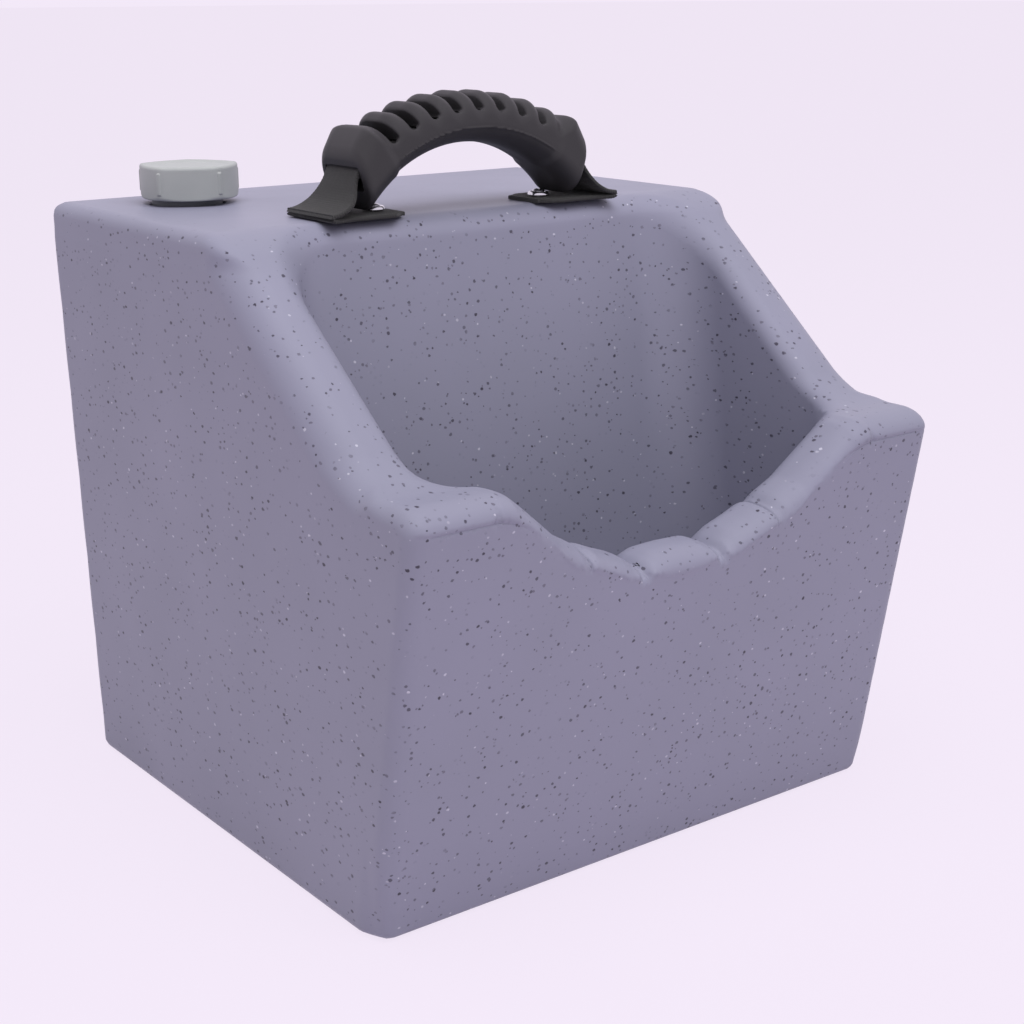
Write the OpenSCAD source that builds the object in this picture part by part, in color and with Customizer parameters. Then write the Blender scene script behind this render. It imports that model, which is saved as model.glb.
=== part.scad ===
// Portable dog water tank with a drinking basin: a hollow rotationally moulded tank whose basin
// is scooped out of its sloping front, with a screw filler cap and a webbing carry handle.
// Frame: +Z up, front towards -Y, origin on the floor under the middle of the tank.

/* [Tank] */
// Width of the tank, side to side
tank_w = 342; // [300:2:400]
// Height of the flat top
tank_h = 330; // [310:1:360]
// Height of the front ledge that the basin rim follows
ledge_h = 226; // [215:1:240]
// Depth from the middle of the tank to the front lip, before its edge is rounded
front_lip = 186; // [176:1:200]
// Depth from the middle of the tank to the back lip, before its edge is rounded
back_lip = 184.3; // [175:0.1:200]
// How far the front and back faces lean in at the floor
front_lean = 40; // [30:1:45]
back_lean = 20; // [10:1:30]
// Where the flat top ends and the slope begins
slope_top_y = -12; // [-20:1:0]
// Where the slope meets the ledge
slope_foot_y = -138; // [-145:1:-130]
// Thickness of the moulded wall
wall = 5; // [4:0.5:6]
// Rounding of the long outer edges
edge_r = 13; // [8:1:16]

/* [Basin] */
// Width of the rim left on each side of the basin
rim_w = 34; // [28:1:45]
// Height of the basin floor
basin_floor_h = 45; // [35:1:60]
// Rounding between the basin walls and floor
basin_r = 28; // [15:1:35]
// Height of the lowest part of the drinking dip in the front rim
dip_h = 175; // [165:1:190]
// Width of the dip along its bottom
dip_bottom_w = 130; // [100:2:150]
// Width of the dip where it reaches the ledge
dip_top_w = 226; // [190:2:236]
// Radius of the feed port between the rear tank and the basin
port_r = 15; // [10:1:20]
// Height of the middle of the feed port
port_h = 80; // [75:1:90]

/* [Filler] */
// Middle of the filler, from the centre of the tank
filler_x = -110; // [-120:1:110]
filler_y = 130; // [60:1:135]
// Outer radius of the neck tube
neck_r = 20; // [19:0.5:24]
// Clear radius inside the neck
neck_bore_r = 17; // [15:0.5:19]
// Height of the neck above the flat top
neck_h = 17.5; // [14:0.5:22]
// Thread pitch of the cap
thread_pitch = 5; // [4:0.5:6]
// Radius of the cap at its corners
cap_r = 29; // [27:0.5:32]
// Number of flats around the cap
cap_flats = 5; // [5:1:8]
// Height of the cap's skirt and top together
cap_h = 17; // [15:0.5:20]

/* [Handle] */
// Middle of the handle, from the centre of the tank
handle_x = -5; // [-10:1:10]
handle_y = 11; // [8:1:40]
// Width of the webbing
web_w = 40; // [30:1:45]
// Thickness of the webbing
web_t = 2.8; // [2:0.2:3.2]
// Radius of the arch along the underside of the grip
grip_under_r = 85; // [80:1:90]
// Thickness of the grip, underside to crown
grip_t = 27; // [24:1:30]
// Width of the grip
grip_w = 48; // [46:1:54]
// Height of the grip's crown above the flat top
crown_h = 63; // [58:1:70]
// Angle that each half of the grip spans
grip_half_angle = 46; // [44:1:48]
// Number of slots through the crown of the grip
slot_count = 8; // [4:1:9]
// Distance from the handle's middle to each fold of the webbing
fold_x = 96; // [90:1:110]
// Distance from the handle's middle to each screw
screw_x = 56; // [54:1:70]

/* [Hidden] */

eps = 0.01;
big = 2 * (front_lip + back_lip);
tank_color = "#8A889E";

// Outline of the tank seen from its side, as [y, z]
side_points = [
    [-front_lip + front_lean, 0], [-front_lip, ledge_h], [slope_foot_y, ledge_h],
    [slope_top_y, tank_h], [back_lip, tank_h], [back_lip - back_lean, 0]
];
side_radii = [9, edge_r, 12, 10, edge_r, 9];

// Basin side outline: back wall leans forward, front wall stays one rim width inside the front face
basin_back_top_y = -8;
basin_lean = 0.16;
basin_back_floor_y = basin_back_top_y - basin_lean * (tank_h - basin_floor_h);
front_slope = front_lean / ledge_h;
basin_front_top_y = -front_lip + rim_w;
basin_front_floor_y = basin_front_top_y + front_slope * (ledge_h - basin_floor_h);
basin_draft = 0.04;
basin_half_top = tank_w / 2 - rim_w;
basin_half_floor = basin_half_top - basin_draft * (tank_h - basin_floor_h);

// Neck, gasket and cap heights
neck_top_z = tank_h + neck_h;
gasket_t = 2;
cap_top_z = neck_top_z + gasket_t + 2.5;
cap_bottom_z = cap_top_z - cap_h;
thread_depth = 1.5;
thread_z = tank_h + 9;
// Where around the cap its thread starts; off the bore's own seam at 0 degrees
cap_thread_start = 153.7;
cap_bore_r = neck_r + 2.2;
// Turn of the cap's flats about its axis when it is screwed home
cap_turn = 63;

// Handle arch
arch_z = tank_h + crown_h - grip_t - grip_under_r;
web_path_r = grip_under_r + 15;
foot_t = 4;
foot_inner_x = 45;
insert_r = 4.5;
insert_len = 14;
boss_r = 9;
boss_depth = 19;
screw_r = 2.4;
washer_r = 6.3;

// ---- Outline helpers -------------------------------------------------------------------------

function unit(v) = v / norm(v);

// Turns one corner of an outline into an arc of radius r, drawn with n steps
function corner_arc(a, b, c, r, n) =
    let (
        u = unit(a - b),
        v = unit(c - b),
        half = acos(u * v) / 2,
        middle = b + unit(u + v) * r / sin(half),
        start = b + u * r / tan(half),
        finish = b + v * r / tan(half),
        a0 = atan2(start[1] - middle[1], start[0] - middle[0]),
        a1 = atan2(finish[1] - middle[1], finish[0] - middle[0]),
        turn = a1 - a0 > 180 ? a1 - a0 - 360 : a1 - a0 < -180 ? a1 - a0 + 360 : a1 - a0
    )
    [for (i = [0:n]) middle + r * [cos(a0 + turn * i / n), sin(a0 + turn * i / n)]];

// Rounds every corner of an outline; a radius of 0 keeps a corner sharp
function rounded(points, radii, n = 5) =
    let (count = len(points))
    [for (i = [0:count - 1])
        for (p = radii[i] > 0
            ? corner_arc(points[(i + count - 1) % count], points[i], points[(i + 1) % count],
                         radii[i], n)
            : [points[i]]) p];

// Point where the two edges that meet at b cross after both move inwards by d
function inset_corner(a, b, c, d, way) =
    let (
        n0 = way * [-(b - a)[1], (b - a)[0]] / norm(b - a),
        n1 = way * [-(c - b)[1], (c - b)[0]] / norm(c - b)
    )
    b + (n0 + n1) * d / (1 + n0 * n1);

// Moves an outline inwards by d; way is 1 for an outline drawn anticlockwise, -1 for clockwise
function inset(points, d, way) =
    let (count = len(points))
    [for (i = [0:count - 1])
        inset_corner(points[(i + count - 1) % count], points[i], points[(i + 1) % count], d, way)];

// Extrudes a [y, z] outline along X, centred, to a total width w
module along_x(w) {
    translate([-w / 2, 0, 0])
        rotate([90, 0, 90])
            linear_extrude(w) children();
}

// Extrudes an [x, z] outline along Y, from y0 towards +Y
module along_y(y0, d) {
    translate([0, y0 + d, 0])
        rotate([90, 0, 0])
            linear_extrude(d) children();
}

// Upright block with rounded corners whose -Y face passes through [y, z] and leans back by angle
module leaning_block(w, y, z, angle, r) {
    translate([0, y, z])
        rotate([angle, 0, 0])
            translate([0, big / 2, 0])
                linear_extrude(2 * big, center = true)
                    polygon(rounded([[-w / 2, -big / 2], [w / 2, -big / 2],
                                     [w / 2, big / 2], [-w / 2, big / 2]], [r, r, r, r], 6));
}

// ---- Tank ------------------------------------------------------------------------------------

// Solid tank outline moved inwards by d
module tank_body(d) {
    w = tank_w - 2 * d;
    front_angle = atan(front_slope);
    back_angle = atan(back_lean / tank_h);
    intersection() {
        along_x(w)
            polygon(rounded(inset(side_points, d, -1), [for (r = side_radii) max(r - d, 3)]));
        along_y(-big / 2, big)
            polygon(rounded([[-w / 2, d], [w / 2, d], [w / 2, tank_h - d], [-w / 2, tank_h - d]],
                            [9, 9, edge_r, edge_r]));
        leaning_block(w, -front_lip + front_lean + d / cos(front_angle), 0, front_angle, edge_r);
        mirror([0, 1, 0])
            leaning_block(w, -back_lip + back_lean + d / cos(back_angle), 0, back_angle, edge_r);
    }
}

// Space of the basin, grown outwards by g
module basin_space(g) {
    along = tank_h + 20;
    rise = along - basin_floor_h;
    intersection() {
        along_x(tank_w)
            polygon(rounded(inset([
                [basin_front_floor_y, basin_floor_h],
                [basin_back_floor_y, basin_floor_h],
                [basin_back_floor_y + basin_lean * rise, along],
                [basin_front_floor_y - front_slope * rise, along]
            ], -g, 1), [basin_r, basin_r, 0, 0]));
        along_y(-front_lip + 1, front_lip + 60)
            polygon(rounded(inset([
                [-basin_half_floor, basin_floor_h],
                [basin_half_floor, basin_floor_h],
                [basin_half_floor + basin_draft * rise, along],
                [-basin_half_floor - basin_draft * rise, along]
            ], -g, 1), [basin_r, basin_r, 0, 0]));
        // Rounds the two upright corners at the back of the basin
        mirror([0, 1, 0])
            leaning_block(2 * basin_half_top + 2 * g, -basin_back_floor_y - g, basin_floor_h,
                          atan(basin_lean), basin_r);
    }
}

// Dip in the front rim, grown outwards by g; its bottom is a row of shallow lobes
module dip_space(g) {
    b = dip_bottom_w / 2;
    t = dip_top_w / 2;
    low = dip_h - g;
    along_y(-front_lip - 10, 75)
        polygon([
            [-t - g - 12, tank_h + 30], [-t - g - 12, ledge_h + eps], [-t - g, ledge_h + eps],
            [-t - g + 12, ledge_h - 8 - g], [-b - g, low + 14], [-b + 4 - g, low + 8],
            [-b / 2 - 4, low + 5], [-b / 2 + 4, low], [b / 2 - 4, low], [b / 2 + 4, low + 5],
            [b - 4 + g, low + 8], [b + g, low + 14], [t + g - 12, ledge_h - 8 - g],
            [t + g, ledge_h + eps], [t + g + 12, ledge_h + eps], [t + g + 12, tank_h + 30]
        ]);
}

module tank_shell() {
    color(tank_color)
        difference() {
            union() {
                difference() {
                    tank_body(0);
                    difference() {
                        tank_body(wall);
                        basin_space(wall);
                        dip_space(wall);
                    }
                }
                for (side = [-1, 1])
                    translate([handle_x + side * screw_x, handle_y, tank_h - boss_depth])
                        cylinder(r = boss_r, h = boss_depth - 1, $fn = 48);
            }
            basin_space(0);
            dip_space(0);
            // Feed port, low in the wall between basin and rear tank
            translate([0, basin_back_floor_y - 12, port_h])
                rotate([-90, 0, 0])
                    cylinder(r = port_r, h = 40, $fn = 64);
            // Opening for the filler neck
            translate([filler_x, filler_y, tank_h - wall - 10])
                cylinder(r = neck_r, h = 40, $fn = 96);
            for (side = [-1, 1])
                translate([handle_x + side * screw_x, handle_y, tank_h - insert_len])
                    cylinder(r = insert_r, h = insert_len + 1, $fn = 48);
        }
}

// ---- Filler ----------------------------------------------------------------------------------

// Helical ridge from radius r_in to r_out, starting at z0 and rising pitch per turn.
// Its section is a trapezium that is wide_in high at r_in and wide_out high at r_out.
module thread_ridge(r_in, r_out, z0, turns, wide_in, wide_out) {
    steps = 24;
    n = ceil(turns * steps);
    section = [[r_in, -wide_in / 2], [r_out, -wide_out / 2], [r_out, wide_out / 2], [r_in, wide_in / 2]];
    points = [for (i = [0:n])
        for (p = section)
            [p[0] * cos(360 * i / steps), p[0] * sin(360 * i / steps),
             z0 + p[1] + thread_pitch * i / steps]];
    sides = [for (i = [0:n - 1])
        for (k = [0:3])
            [4 * i + k, 4 * i + (k + 1) % 4, 4 * (i + 1) + (k + 1) % 4, 4 * (i + 1) + k]];
    polyhedron(points, concat([[3, 2, 1, 0]], sides, [[4 * n, 4 * n + 1, 4 * n + 2, 4 * n + 3]]));
}

module filler_neck() {
    color("#8F93A0")
        translate([filler_x, filler_y, 0])
            union() {
                rotate_extrude($fn = 96)
                    polygon([
                        [neck_bore_r, tank_h - wall - 12], [neck_r, tank_h - wall - 12],
                        [neck_r, tank_h - wall - 4], [neck_r + 9, tank_h - wall - 4],
                        [neck_r + 9, tank_h - wall], [neck_r, tank_h - wall],
                        [neck_r, neck_top_z - 1], [neck_r - 1, neck_top_z],
                        [neck_bore_r, neck_top_z]
                    ]);
                thread_ridge(neck_r - 0.5, neck_r + thread_depth, thread_z, 1.25, 2.4, 1.0);
            }
}

module cap_gasket() {
    color("#2E2E30")
        translate([filler_x, filler_y, neck_top_z])
            difference() {
                cylinder(r = neck_r + 1.6, h = gasket_t, $fn = 96);
                translate([0, 0, -1])
                    cylinder(r = neck_bore_r, h = gasket_t + 2, $fn = 96);
            }
}

module filler_cap() {
    flat_r = cap_r * cos(180 / cap_flats) + 0.7;
    color("#959A99")
        translate([filler_x, filler_y, 0])
            difference() {
                union() {
                    difference() {
                        intersection() {
                            // Turned outline: chamfered skirt, rolled top edge and dished top
                            rotate_extrude($fn = 96)
                                polygon([
                                    [0, cap_bottom_z], [cap_r - 2.5, cap_bottom_z],
                                    [cap_r, cap_bottom_z + 2], [cap_r, cap_top_z - 3],
                                    [cap_r - 3, cap_top_z], [cap_r - 6, cap_top_z],
                                    [cap_r - 8, cap_top_z - 1], [0, cap_top_z - 1]
                                ]);
                            translate([0, 0, cap_bottom_z - 1])
                                linear_extrude(cap_h + 2)
                                    intersection_for(i = [0:cap_flats - 1])
                                        rotate(i * 360 / cap_flats + cap_turn)
                                            translate([-flat_r, -2 * cap_r])
                                                square([2 * cap_r + flat_r, 4 * cap_r]);
                        }
                        translate([0, 0, cap_bottom_z - 1])
                            cylinder(r = cap_bore_r, h = neck_top_z + gasket_t - cap_bottom_z + 1, $fn = 96);
                    }
                    rotate(cap_thread_start)
                        thread_ridge(cap_bore_r - thread_depth, cap_bore_r + 0.6,
                                     thread_z + thread_pitch * (cap_thread_start / 360 - 0.5),
                                     1.0, 1.0, 2.6);
                }
            }
}

// ---- Handle ----------------------------------------------------------------------------------

// Places an arch section at the handle: x of the section is the radius, y runs across the handle
module arch(angle0, angle1) {
    translate([handle_x, handle_y, arch_z])
        rotate([90, 0, 0])
            rotate([0, 0, 90 - angle1])
                rotate_extrude(angle = angle1 - angle0, $fn = 144) children();
}

// Rounded rectangle from radius r0 to r1, w wide across the handle, with corner radius c
module band_section(r0, r1, w, c) {
    translate([r0 + c, -w / 2])
        square([r1 - r0 - 2 * c, w]);
    translate([r0, -w / 2 + c])
        square([r1 - r0, w - 2 * c]);
    for (r = [r0 + c, r1 - c])
        for (y = [-w / 2 + c, w / 2 - c])
            translate([r, y])
                circle(r = c, $fn = 32);
}

module grip() {
    crown_r = grip_under_r + grip_t;
    slot_step = 61.6 / slot_count;
    color("#3C3C3C")
        difference() {
            union() {
                arch(-grip_half_angle + 1, grip_half_angle - 1)
                    band_section(grip_under_r, crown_r, grip_w - 4, 10);
                // Hoods where the webbing enters each end
                for (side = [-1, 1])
                    arch(side * grip_half_angle - (side > 0 ? 9 : 0), side * grip_half_angle + (side > 0 ? 0 : 9))
                        band_section(grip_under_r - 1, crown_r + 1.5, grip_w, 11);
            }
            // Passage for the webbing
            arch(-grip_half_angle - 1, grip_half_angle + 1)
                translate([web_path_r - web_t / 2 - 0.3, -web_w / 2 - 0.3])
                    square([web_t + 0.6, web_w + 0.6]);
            // Slots through the crown, down to the passage
            for (i = [0:slot_count - 1])
                translate([handle_x, handle_y, arch_z])
                    rotate([0, (i - (slot_count - 1) / 2) * slot_step, 0])
                        translate([-2.5, -15, web_path_r])
                            cube([5, 30, grip_t]);
        }
}

module strap_core() {
    color("#222222")
        arch(-grip_half_angle, grip_half_angle)
            translate([web_path_r - web_t / 2, -web_w / 2])
                square([web_t, web_w]);
}

// Middle line of one strap leg as [x, z], from inside the hood down to the fold, seen on the right.
// It starts leg_gap past the end of strap_core.
leg_gap = 0.5;
leg_top = web_path_r * [sin(grip_half_angle), cos(grip_half_angle)] + [0, arch_z]
    + leg_gap * [cos(grip_half_angle), -sin(grip_half_angle)];
leg_line = [
    leg_top, leg_top + [4.5, -4.7], leg_top + [8.5, -9.5], [fold_x - 11, tank_h + foot_t + 5.6],
    [fold_x - 6, tank_h + foot_t + 2.8], [fold_x, tank_h + foot_t + 1.4]
];

// Outline of a strip of thickness t that follows a line of points
function strip(line, t) =
    let (
        last = len(line) - 1,
        side = [for (i = [0:last])
            let (d = unit(line[min(i + 1, last)] - line[max(i - 1, 0)])) [-d[1], d[0]] * t / 2]
    )
    concat([for (i = [0:last]) line[i] + side[i]], [for (i = [0:last]) line[last - i] - side[last - i]]);

module strap_leg(side) {
    color("#222222")
        translate([handle_x, 0, 0])
            mirror([side < 0 ? 1 : 0, 0, 0])
                along_y(handle_y - web_w / 2, web_w)
                    polygon(strip(leg_line, web_t));
}

// Tail of the webbing, folded under and screwed down
module strap_foot(side) {
    outer = fold_x + 2;
    color("#2F2F2F")
        difference() {
            translate([handle_x, 0, 0])
                mirror([side < 0 ? 1 : 0, 0, 0])
                    along_y(handle_y - web_w / 2, web_w)
                        polygon(rounded([
                            [foot_inner_x, tank_h], [outer, tank_h],
                            [outer, tank_h + foot_t], [foot_inner_x, tank_h + foot_t]
                        ], [1, 1.4, 1.4, 1.4], 3));
            translate([handle_x + side * screw_x, handle_y, tank_h - 1])
                cylinder(r = screw_r + 0.3, h = foot_t + 2, $fn = 32);
        }
}

module threaded_insert(side) {
    color("#B59A4A")
        translate([handle_x + side * screw_x, handle_y, tank_h - insert_len])
            difference() {
                cylinder(r = insert_r, h = insert_len, $fn = 48);
                translate([0, 0, 1.5])
                    cylinder(r = screw_r + 0.05, h = insert_len, $fn = 32);
            }
}

// Cup washer with a conical seat for the screw head
module finish_washer(side) {
    color("#C9CCD0")
        translate([handle_x + side * screw_x, handle_y, tank_h + foot_t])
            rotate_extrude($fn = 64)
                polygon([
                    [screw_r + 0.2, 0], [washer_r, 0], [washer_r, 0.8], [washer_r - 0.8, 1.7],
                    [washer_r - 2, 2.2], [screw_r + 0.2, 0.6]
                ]);
}

module handle_screw(side) {
    head_r = washer_r - 2.3;
    color("#D4D6D9")
        translate([handle_x + side * screw_x, handle_y, tank_h + foot_t])
            difference() {
                rotate_extrude($fn = 64)
                    polygon([
                        [0, -foot_t - insert_len + 2.5], [screw_r, -foot_t - insert_len + 2.5],
                        [screw_r, 0.9], [head_r, 2.3], [head_r - 0.6, 3.0], [2, 3.6], [0, 3.8]
                    ]);
                // Cross recess
                for (turn = [0, 90])
                    rotate([0, 0, turn])
                        translate([-1.9, -0.4, 2.2])
                            cube([3.8, 0.8, 3]);
            }
}

tank_shell();
filler_neck();
cap_gasket();
filler_cap();
strap_foot(-1);  // strap_foot_left
strap_foot(1);  // strap_foot_right
threaded_insert(-1);  // insert_left
threaded_insert(1);  // insert_right
finish_washer(-1);  // finish_washer_left
finish_washer(1);  // finish_washer_right
handle_screw(-1);  // handle_screw_left
handle_screw(1);  // handle_screw_right
strap_leg(-1);  // strap_leg_left
strap_leg(1);  // strap_leg_right
strap_core();
grip();
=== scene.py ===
"""Looks of a portable dog water tank: a speckled moulded tank with a drinking basin, cap and handle.

Lengths inside the shape functions are in millimetres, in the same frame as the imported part: +Z up,
the basin towards -Y, the origin on the floor under the middle of the tank. Meshes are made in metres.
"""

import itertools
import logging
import math
from dataclasses import dataclass, field
from enum import Enum
from typing import Callable, Sequence

import bmesh
import bpy
import numpy as np
from mathutils import Matrix, Vector


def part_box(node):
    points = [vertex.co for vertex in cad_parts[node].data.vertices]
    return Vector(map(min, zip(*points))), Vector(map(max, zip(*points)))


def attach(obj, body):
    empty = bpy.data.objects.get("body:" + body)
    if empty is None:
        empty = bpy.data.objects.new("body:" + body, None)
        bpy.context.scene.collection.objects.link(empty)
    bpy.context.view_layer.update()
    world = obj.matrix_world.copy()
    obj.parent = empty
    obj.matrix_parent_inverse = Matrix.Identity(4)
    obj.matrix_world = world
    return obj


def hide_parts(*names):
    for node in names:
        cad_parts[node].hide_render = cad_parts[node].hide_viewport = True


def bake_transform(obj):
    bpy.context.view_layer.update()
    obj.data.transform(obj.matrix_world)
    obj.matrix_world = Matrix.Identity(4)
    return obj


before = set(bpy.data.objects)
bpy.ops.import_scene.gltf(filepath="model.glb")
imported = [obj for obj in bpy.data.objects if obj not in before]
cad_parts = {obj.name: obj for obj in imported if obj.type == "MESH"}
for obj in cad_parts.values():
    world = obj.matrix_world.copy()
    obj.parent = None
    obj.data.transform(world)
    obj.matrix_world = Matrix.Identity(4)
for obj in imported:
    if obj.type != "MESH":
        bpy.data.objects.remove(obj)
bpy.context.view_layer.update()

MM = 0.001

log = logging.getLogger("water_tank")

Shape = Callable[[np.ndarray, np.ndarray, np.ndarray], np.ndarray]


class Side(Enum):
    """The two ends of the handle, seen from the basin side."""

    LEFT = -1
    RIGHT = 1


class Body(Enum):
    """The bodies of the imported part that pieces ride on."""

    TANK = "tank"
    CAP = "cap"
    STRAP_LEGS = "strap_legs"
    HANDLE = "handle"


# ---- Frame, in millimetres --------------------------------------------------------------------


def node_box(name: str) -> tuple[np.ndarray, np.ndarray]:
    """Lowest and highest corner of a CAD node at rest.

    Args:
        name: The CAD node's name.

    Returns:
        The two corners in millimetres.
    """
    low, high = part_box(name)
    return np.array(low) / MM, np.array(high) / MM


def node_middle(name: str) -> np.ndarray:
    """Middle of a CAD node's box, in millimetres."""
    low, high = node_box(name)
    return (low + high) / 2


# ---- Shape functions: negative inside, zero on the surface -------------------------------------


def meet(a: np.ndarray, b: np.ndarray, ra: float, rb: float | None = None) -> np.ndarray:
    """Common part of two shapes, with their outer edge rolled over.

    Args:
        a: Distance from the first shape.
        b: Distance from the second shape.
        ra: How far from the edge the roll starts on b's face, measured across a.
        rb: The same across b; ra if it is left out, which makes a round edge.

    Returns:
        Distance from the common part.
    """
    rb = ra if rb is None else rb
    u = np.maximum(1 + a / ra, 0)
    v = np.maximum(1 + b / rb, 0)
    reach = np.maximum(np.hypot(u, v), 1e-6)
    scale = np.hypot(u * ra, v * rb) / reach
    return np.where((u > 0) & (v > 0), (reach - 1) * scale, np.maximum(a, b))


def join(a: np.ndarray, b: np.ndarray, r: float) -> np.ndarray:
    """Two shapes together, with a hollow fillet of radius r where they touch."""
    return -meet(-a, -b, r)


def ramp(low: float, high: float, value: np.ndarray) -> np.ndarray:
    """Goes smoothly from 0 where value is low to 1 where it is high."""
    t = np.clip((value - low) / (high - low), 0, 1)
    return t * t * (3 - 2 * t)


def plane(a: np.ndarray, b: np.ndarray, start: tuple[float, float], end: tuple[float, float]) -> np.ndarray:
    """Distance to the left of the line from start to end.

    Args:
        a: First coordinate of each point.
        b: Second coordinate of each point.
        start: A point on the line.
        end: A later point on the line.

    Returns:
        Distance from the line, above 0 on its left side.
    """
    da, db = end[0] - start[0], end[1] - start[1]
    return (da * (b - start[1]) - db * (a - start[0])) / math.hypot(da, db)


def groove(offset: np.ndarray, half_width: float, depth: float) -> np.ndarray:
    """Depth of a soft-edged groove at each distance from its middle line."""
    return depth * np.exp(-((offset / half_width) ** 2))


def slope_of(shape: Shape, points: np.ndarray, step: float) -> np.ndarray:
    """Gradient of a shape function at each point, by central differences.

    Args:
        shape: The shape function.
        points: Places, one row each.
        step: Half the distance between the two samples.

    Returns:
        One gradient row for each point.
    """
    found = np.empty_like(points)
    for axis in range(3):
        ahead, behind = points.copy(), points.copy()
        ahead[:, axis] += step
        behind[:, axis] -= step
        found[:, axis] = (shape(*ahead.T) - shape(*behind.T)) / (2 * step)
    return found


def settle(shape: Shape, points: np.ndarray, reach: float, rounds: int = 5) -> np.ndarray:
    """Moves points onto the surface of a shape.

    Args:
        shape: The shape function.
        points: Places near the surface, one row each.
        reach: The furthest that a point moves in one round.
        rounds: How many times each point moves.

    Returns:
        The moved points.
    """
    for _ in range(rounds):
        steep = slope_of(shape, points, 0.2)
        size = np.maximum((steep**2).sum(1), 0.05)
        move = -steep * (shape(*points.T) / size)[:, None]
        length = np.maximum(np.linalg.norm(move, axis=1), 1e-9)
        points = points + move * np.minimum(1, reach / length)[:, None]
    return points


def skin(
    shape: Shape, low: Sequence[float], high: Sequence[float], step: float
) -> tuple[np.ndarray, np.ndarray]:
    """Closed net of four-sided faces over the surface of a shape.

    Args:
        shape: The shape function.
        low: Lowest corner of a box around the shape, clear of it.
        high: Highest corner of that box.
        step: Spacing of the net.

    Returns:
        The net's points and its faces, wound so that they look outwards.
    """
    axes = [np.arange(a, b + step, step) for a, b in zip(low, high)]
    value = shape(axes[0][:, None, None], axes[1][None, :, None], axes[2][None, None, :])
    value = np.ascontiguousarray(np.broadcast_to(value, [len(a) for a in axes]), np.float32)
    inside = value < 0
    nx, ny, nz = value.shape
    full = np.zeros((nx - 1, ny - 1, nz - 1), np.uint8)
    for i, j, k in itertools.product((0, 1), repeat=3):
        full += inside[i : nx - 1 + i, j : ny - 1 + j, k : nz - 1 + k]
    cells = np.argwhere((full > 0) & (full < 8))
    number = np.full(full.shape, -1, np.int32)
    number[tuple(cells.T)] = np.arange(len(cells))
    total, count = np.zeros((len(cells), 3)), np.zeros(len(cells))
    faces = []
    for axis in range(3):
        along, first, second = (np.eye(3, dtype=int)[(axis + i) % 3] for i in range(3))
        for i, j in itertools.product((0, 1), repeat=2):
            start = cells + i * first + j * second
            a, b = value[tuple(start.T)], value[tuple((start + along).T)]
            cut = (a < 0) != (b < 0)
            share = a[cut] / (a[cut] - b[cut])
            total[cut] += start[cut] + share[:, None] * along
            count[cut] += 1
        ends = [slice(None, -1) if i == axis else slice(None) for i in range(3)]
        starts = [slice(1, None) if i == axis else slice(None) for i in range(3)]
        edge = np.argwhere(inside[tuple(ends)] != inside[tuple(starts)])
        ring = np.stack(
            [number[tuple((edge - d).T)] for d in (0 * first, first, first + second, second)], 1
        )
        leaving = inside[tuple(edge.T)]
        faces.append(np.where(leaving[:, None], ring, ring[:, ::-1]))
    points = np.array([a[0] for a in axes]) + total / count[:, None] * step
    return points, np.concatenate(faces)


# ---- Meshes -----------------------------------------------------------------------------------


def new_object(name: str, points: np.ndarray, faces: Sequence[Sequence[int]]) -> bpy.types.Object:
    """Mesh object made of points in millimetres.

    Args:
        name: The piece's name.
        points: One row for each point.
        faces: The faces, as lists of point numbers.

    Returns:
        The object, linked into the scene, with smooth faces.
    """
    mesh = bpy.data.meshes.new(name)
    mesh.from_pydata((np.asarray(points) * MM).tolist(), [], np.asarray(faces).tolist())
    mesh.polygons.foreach_set("use_smooth", [True] * len(mesh.polygons))
    mesh.update()
    made = bpy.data.objects.new(name, mesh)
    bpy.context.scene.collection.objects.link(made)
    return made


def mesh_points(piece: bpy.types.Object) -> np.ndarray:
    """Points of a piece's mesh, in millimetres."""
    points = np.empty(len(piece.data.vertices) * 3, np.float32)
    piece.data.vertices.foreach_get("co", points)
    return points.reshape(-1, 3).astype(float) / MM


def place_points(piece: bpy.types.Object, points: np.ndarray) -> None:
    """Puts new points, in millimetres, into a piece's mesh."""
    piece.data.vertices.foreach_set("co", (points * MM).astype(np.float32).ravel())
    piece.data.update()


def baked(piece: bpy.types.Object) -> bpy.types.Object:
    """Turns a piece and its modifiers into a plain mesh, in place.

    Args:
        piece: The object with live modifiers.

    Returns:
        The same object, with its result as its mesh and no modifier.
    """
    view = bpy.context.evaluated_depsgraph_get()
    view.update()
    result = bpy.data.meshes.new_from_object(piece.evaluated_get(view), depsgraph=view)
    piece.modifiers.clear()
    old, piece.data = piece.data, result
    result.name = piece.name
    bpy.data.meshes.remove(old)
    return piece


def thin_out(piece: bpy.types.Object, share: float) -> bpy.types.Object:
    """Merges faces where a piece is flat, until only that share of its triangles is left."""
    press = piece.modifiers.new("thin_out", "DECIMATE")
    press.ratio = share
    return baked(piece)


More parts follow.
